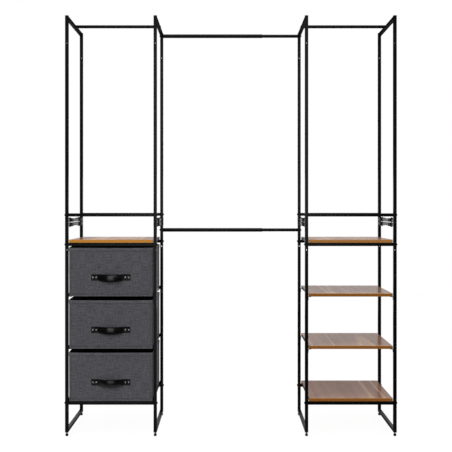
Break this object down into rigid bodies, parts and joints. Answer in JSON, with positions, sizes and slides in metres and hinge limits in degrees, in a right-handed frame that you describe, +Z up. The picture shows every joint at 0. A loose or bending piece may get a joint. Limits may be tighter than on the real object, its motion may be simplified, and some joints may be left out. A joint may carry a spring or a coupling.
{
  "type": "open frame wardrobe",
  "caption": "Open steel-tube wardrobe with a tower of fabric drawers, a tower of wood-look shelves and telescopic hanging rods across the bay between them.",
  "frame": {"origin": "on the floor, under the middle of the wardrobe's box", "axes": "+X to the right seen from the front, +Y to the back, +Z up"},
  "size_m": [1.6392, 0.422, 2.064],
  "materials": {
    "black_steel": "satin black powder coat",
    "black_bolt_steel": "black oxide",
    "black_plastic": "moulded, fine grain",
    "wood_look_board": "printed walnut melamine on particle board",
    "charcoal_fabric": "heathered linen-look polyester",
    "fibreboard": "thin pressed board",
    "black_faux_leather": "smooth black faux leather",
    "nickel": "nickel plated"
  },
  "bodies": {
    "drawer_tower": {"drawer_tower_bolts": "black_bolt_steel", "drawer_tower_bottom_front_rail": "black_steel", "drawer_tower_bottom_rear_rail": "black_steel", "drawer_tower_foot_inserts": "black_plastic", "drawer_tower_frame_clamps": "black_plastic", "drawer_tower_hanging_rod": "black_steel", "drawer_tower_left_lower_frame": "black_steel", "drawer_tower_left_upper_frame": "black_steel", "drawer_tower_mid_front_rail": "black_steel", "drawer_tower_mid_rear_rail": "black_steel", "drawer_tower_post_plugs": "black_plastic", "drawer_tower_right_lower_frame": "black_steel", "drawer_tower_right_upper_frame": "black_steel", "drawer_tower_runners": "black_steel", "drawer_tower_top_board": "wood_look_board", "drawer_tower_top_front_rail": "black_steel", "drawer_tower_top_rear_rail": "black_steel", "lower_centre_rod_outer": "black_steel", "upper_centre_rod_outer": "black_steel"},
    "shelf_tower": {"lower_centre_rod_inner": "black_steel", "shelf_tower_bolts": "black_bolt_steel", "shelf_tower_bottom_front_rail": "black_steel", "shelf_tower_bottom_rear_rail": "black_steel", "shelf_tower_foot_inserts": "black_plastic", "shelf_tower_frame_clamps": "black_plastic", "shelf_tower_hanging_rod": "black_steel", "shelf_tower_left_lower_frame": "black_steel", "shelf_tower_left_upper_frame": "black_steel", "shelf_tower_mid_front_rail": "black_steel", "shelf_tower_mid_rear_rail": "black_steel", "shelf_tower_post_plugs": "black_plastic", "shelf_tower_right_lower_frame": "black_steel", "shelf_tower_right_upper_frame": "black_steel", "shelf_tower_shelf_1": "wood_look_board", "shelf_tower_shelf_2": "wood_look_board", "shelf_tower_shelf_3": "wood_look_board", "shelf_tower_shelf_4": "wood_look_board", "shelf_tower_top_front_rail": "black_steel", "shelf_tower_top_rear_rail": "black_steel", "upper_centre_rod_inner": "black_steel"},
    "top_drawer": {"top_drawer_base_board": "fibreboard", "top_drawer_box": "charcoal_fabric", "top_drawer_handle": "black_faux_leather", "top_drawer_rivets": "nickel"},
    "middle_drawer": {"middle_drawer_base_board": "fibreboard", "middle_drawer_box": "charcoal_fabric", "middle_drawer_handle": "black_faux_leather", "middle_drawer_rivets": "nickel"},
    "bottom_drawer": {"bottom_drawer_base_board": "fibreboard", "bottom_drawer_box": "charcoal_fabric", "bottom_drawer_handle": "black_faux_leather", "bottom_drawer_rivets": "nickel"},
    "drawer_tower_left_front_foot_body": {"drawer_tower_left_front_foot": "black_plastic"},
    "drawer_tower_left_rear_foot_body": {"drawer_tower_left_rear_foot": "black_plastic"},
    "drawer_tower_right_front_foot_body": {"drawer_tower_right_front_foot": "black_plastic"},
    "drawer_tower_right_rear_foot_body": {"drawer_tower_right_rear_foot": "black_plastic"},
    "shelf_tower_left_front_foot_body": {"shelf_tower_left_front_foot": "black_plastic"},
    "shelf_tower_left_rear_foot_body": {"shelf_tower_left_rear_foot": "black_plastic"},
    "shelf_tower_right_front_foot_body": {"shelf_tower_right_front_foot": "black_plastic"},
    "shelf_tower_right_rear_foot_body": {"shelf_tower_right_rear_foot": "black_plastic"}
  },
  "joints": [
    {"name": "span_slide", "type": "slide", "parent": "drawer_tower", "child": "shelf_tower", "axis": [1, 0, 0], "range_m": [-0.17, 0.25]},
    {"name": "top_drawer_slide", "type": "slide", "parent": "drawer_tower", "child": "top_drawer", "axis": [0, -1, 0], "range_m": [0, 0.22]},
    {"name": "middle_drawer_slide", "type": "slide", "parent": "drawer_tower", "child": "middle_drawer", "axis": [0, -1, 0], "range_m": [0, 0.22]},
    {"name": "bottom_drawer_slide", "type": "slide", "parent": "drawer_tower", "child": "bottom_drawer", "axis": [0, -1, 0], "range_m": [0, 0.22]},
    {"name": "drawer_tower_left_front_foot_screw", "type": "slide", "parent": "drawer_tower", "child": "drawer_tower_left_front_foot_body", "axis": [0, 0, 1], "range_m": [-0.01, 0.005]},
    {"name": "drawer_tower_left_rear_foot_screw", "type": "slide", "parent": "drawer_tower", "child": "drawer_tower_left_rear_foot_body", "axis": [0, 0, 1], "range_m": [-0.01, 0.005]},
    {"name": "drawer_tower_right_front_foot_screw", "type": "slide", "parent": "drawer_tower", "child": "drawer_tower_right_front_foot_body", "axis": [0, 0, 1], "range_m": [-0.01, 0.005]},
    {"name": "drawer_tower_right_rear_foot_screw", "type": "slide", "parent": "drawer_tower", "child": "drawer_tower_right_rear_foot_body", "axis": [0, 0, 1], "range_m": [-0.01, 0.005]},
    {"name": "shelf_tower_left_front_foot_screw", "type": "slide", "parent": "shelf_tower", "child": "shelf_tower_left_front_foot_body", "axis": [0, 0, 1], "range_m": [-0.01, 0.005]},
    {"name": "shelf_tower_left_rear_foot_screw", "type": "slide", "parent": "shelf_tower", "child": "shelf_tower_left_rear_foot_body", "axis": [0, 0, 1], "range_m": [-0.01, 0.005]},
    {"name": "shelf_tower_right_front_foot_screw", "type": "slide", "parent": "shelf_tower", "child": "shelf_tower_right_front_foot_body", "axis": [0, 0, 1], "range_m": [-0.01, 0.005]},
    {"name": "shelf_tower_right_rear_foot_screw", "type": "slide", "parent": "shelf_tower", "child": "shelf_tower_right_rear_foot_body", "axis": [0, 0, 1], "range_m": [-0.01, 0.005]}
  ]
}
